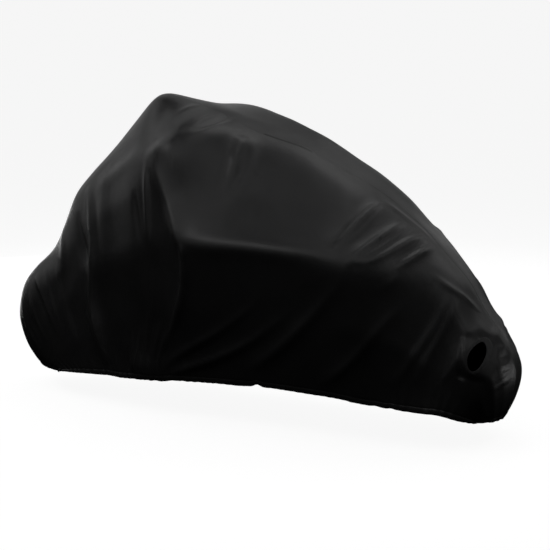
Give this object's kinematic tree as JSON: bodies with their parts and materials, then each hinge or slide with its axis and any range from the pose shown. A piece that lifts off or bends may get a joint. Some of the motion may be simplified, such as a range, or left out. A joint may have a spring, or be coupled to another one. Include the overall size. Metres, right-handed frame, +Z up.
{
  "type": "fitted bicycle cover",
  "caption": "Fitted cloth cover draped as over a bicycle, hollow and open below, with a gathered hem, a centre seam and a bound lock hole low on each side of the rear end.",
  "frame": {"origin": "the point where the top of the cover rests on what it covers, on the underside of the sheet at the centre seam, between the two peaks", "axes": "+X along the length towards the rear end with the lock holes, -Y the near side, +Z up"},
  "size_m": [1.9765, 0.6934, 1.0217],
  "materials": {
    "cloth": "thin plain-woven black polyester with a dull sheen",
    "binding": "black woven tape, stitched on"
  },
  "bodies": {
    "root": {"panel_near": "cloth", "panel_far": "cloth", "lock_hole_edge_near": "binding", "lock_hole_edge_far": "binding"}
  },
  "joints": []
}
